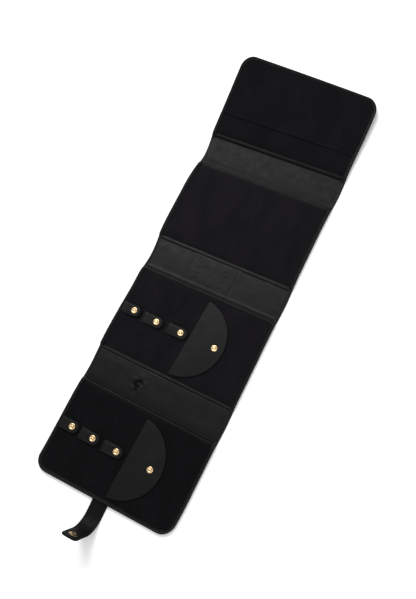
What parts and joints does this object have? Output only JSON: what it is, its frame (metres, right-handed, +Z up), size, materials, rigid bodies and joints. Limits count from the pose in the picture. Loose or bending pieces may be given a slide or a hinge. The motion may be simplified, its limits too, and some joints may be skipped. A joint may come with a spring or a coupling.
{
  "type": "jewelry box",
  "caption": "Soft fold-out travel jewellery case lying open: padded panels joined by leather gussets, with snap tabs, half-moon flaps and a closing strap.",
  "frame": {"origin": "centre of the base of the open case's box, on the surface that the case lies on", "axes": "+Y along the open strip from the closing strap to the end of panel 1; +X across the strip, to the right seen from above with the strap nearest; +Z up, out of the lining"},
  "size_m": [0.193, 0.6385, 0.0422],
  "materials": {
    "leather": "smooth black leather with a fine grain, satin",
    "binding": "folded black leather edging, satin, one row of stitches",
    "suede": "black microsuede, matt, short nap",
    "brass": "polished brass plate",
    "foam": "grey foam sheet, hidden",
    "board": "stiffening board, hidden"
  },
  "bodies": {
    "panel_3": {"outer_leather_panel_3": "leather", "board_panel_3": "board", "foam_panel_3": "foam", "lining_panel_3": "suede", "binding_panel_3": "binding", "earring_pocket_3": "suede", "snap_studs_3": "brass", "sewn_ends_3": "leather"},
    "panel_4": {"outer_leather_panel_4": "leather", "board_panel_4": "board", "foam_panel_4": "foam", "lining_panel_4": "suede", "binding_panel_4": "binding", "earring_pocket_4": "suede", "snap_studs_4": "brass", "sewn_ends_4": "leather"},
    "gusset_3": {"outer_leather_gusset_3": "leather", "inner_leather_gusset_3": "leather", "binding_gusset_3": "binding"},
    "gusset_2": {"outer_leather_gusset_2": "leather", "inner_leather_gusset_2": "leather", "binding_gusset_2": "binding", "earring_stiffener": "board", "strap_stud": "brass"},
    "panel_2": {"outer_leather_panel_2": "leather", "board_panel_2": "board", "foam_panel_2": "foam", "lining_panel_2": "suede", "binding_panel_2": "binding"},
    "gusset_1": {"outer_leather_gusset_1": "leather", "inner_leather_gusset_1": "leather", "binding_gusset_1": "binding"},
    "panel_1": {"outer_leather_panel_1": "leather", "board_panel_1": "board", "foam_panel_1": "foam", "lining_panel_1": "suede", "binding_panel_1": "binding", "slip_pocket": "suede"},
    "tab_3_1": {"tab_3_1": "leather", "tab_snap_3_1": "brass"},
    "tab_3_2": {"tab_3_2": "leather", "tab_snap_3_2": "brass"},
    "tab_3_3": {"tab_3_3": "leather", "tab_snap_3_3": "brass"},
    "flap_3": {"flap_3": "leather", "flap_snap_3": "brass"},
    "tab_4_1": {"tab_4_1": "leather", "tab_snap_4_1": "brass"},
    "tab_4_2": {"tab_4_2": "leather", "tab_snap_4_2": "brass"},
    "tab_4_3": {"tab_4_3": "leather", "tab_snap_4_3": "brass"},
    "flap_4": {"flap_4": "leather", "flap_snap_4": "brass"},
    "strap_root": {"strap_root": "leather"},
    "strap_tip": {"strap_tip": "leather", "strap_snap": "brass"}
  },
  "joints": [
    {"name": "gusset_3_fold", "type": "hinge", "parent": "panel_3", "child": "gusset_3", "pos_m": [0, -0.11012, 0.0018], "axis": [-1, 0, 0], "range_deg": [0, 90]},
    {"name": "panel_4_fold", "type": "hinge", "parent": "gusset_3", "child": "panel_4", "pos_m": [0, -0.15612, 0.0018], "axis": [-1, 0, 0], "range_deg": [0, 90]},
    {"name": "gusset_2_fold", "type": "hinge", "parent": "panel_3", "child": "gusset_2", "pos_m": [0, 0.00338, 0.0018], "axis": [1, 0, 0], "range_deg": [0, 52.52]},
    {"name": "panel_2_fold", "type": "hinge", "parent": "gusset_2", "child": "panel_2", "pos_m": [0, 0.04988, 0.0018], "axis": [1, 0, 0], "range_deg": [0, 127.48]},
    {"name": "gusset_1_fold", "type": "hinge", "parent": "panel_2", "child": "gusset_1", "pos_m": [0, 0.16288, 0.0018], "axis": [1, 0, 0], "range_deg": [0, 45.67]},
    {"name": "panel_1_fold", "type": "hinge", "parent": "gusset_1", "child": "panel_1", "pos_m": [0, 0.20188, 0.0018], "axis": [1, 0, 0], "range_deg": [0, 131.33]},
    {"name": "strap_root_flex", "type": "hinge", "parent": "panel_4", "child": "strap_root", "pos_m": [0, -0.27592, 0.0018], "axis": [-1, 0, 0], "range_deg": [0, 15]},
    {"name": "strap_tip_curl", "type": "hinge", "parent": "strap_root", "child": "strap_tip", "pos_m": [0, -0.30592, 0.0018], "axis": [-1, 0, 0], "range_deg": [-69, 38.48], "stiffness_Nm_per_rad": 0.02},
    {"name": "tab_3_1_lift", "type": "hinge", "parent": "panel_3", "child": "tab_3_1", "pos_m": [-0.089, -0.05482, 0.0055], "axis": [0, 1, 0], "range_deg": [-140, 0]},
    {"name": "tab_3_2_lift", "type": "hinge", "parent": "panel_3", "child": "tab_3_2", "pos_m": [-0.0595, -0.05632, 0.0055], "axis": [0, 1, 0], "range_deg": [-140, 0]},
    {"name": "tab_3_3_lift", "type": "hinge", "parent": "panel_3", "child": "tab_3_3", "pos_m": [-0.024, -0.05612, 0.0055], "axis": [0, 1, 0], "range_deg": [-140, 0]},
    {"name": "flap_3_lift", "type": "hinge", "parent": "panel_3", "child": "flap_3", "pos_m": [0.009, -0.05592, 0.0055], "axis": [0, 1, 0], "range_deg": [-140, 0]},
    {"name": "tab_4_1_lift", "type": "hinge", "parent": "panel_4", "child": "tab_4_1", "pos_m": [-0.089, -0.21462, 0.0055], "axis": [0, 1, 0], "range_deg": [-140, 0]},
    {"name": "tab_4_2_lift", "type": "hinge", "parent": "panel_4", "child": "tab_4_2", "pos_m": [-0.062, -0.21582, 0.0055], "axis": [0, 1, 0], "range_deg": [-140, 0]},
    {"name": "tab_4_3_lift", "type": "hinge", "parent": "panel_4", "child": "tab_4_3", "pos_m": [-0.028, -0.21662, 0.0055], "axis": [0, 1, 0], "range_deg": [-140, 0]},
    {"name": "flap_4_lift", "type": "hinge", "parent": "panel_4", "child": "flap_4", "pos_m": [0.008, -0.21662, 0.0055], "axis": [0, 1, 0], "range_deg": [-140, 0]}
  ],
  "couplings": [
    {"joint": "panel_4_fold", "follows": "gusset_3_fold", "ratio": 1},
    {"joint": "gusset_2_fold", "follows": "panel_2_fold", "ratio": 0.41199},
    {"joint": "gusset_1_fold", "follows": "panel_1_fold", "ratio": 0.34775}
  ]
}
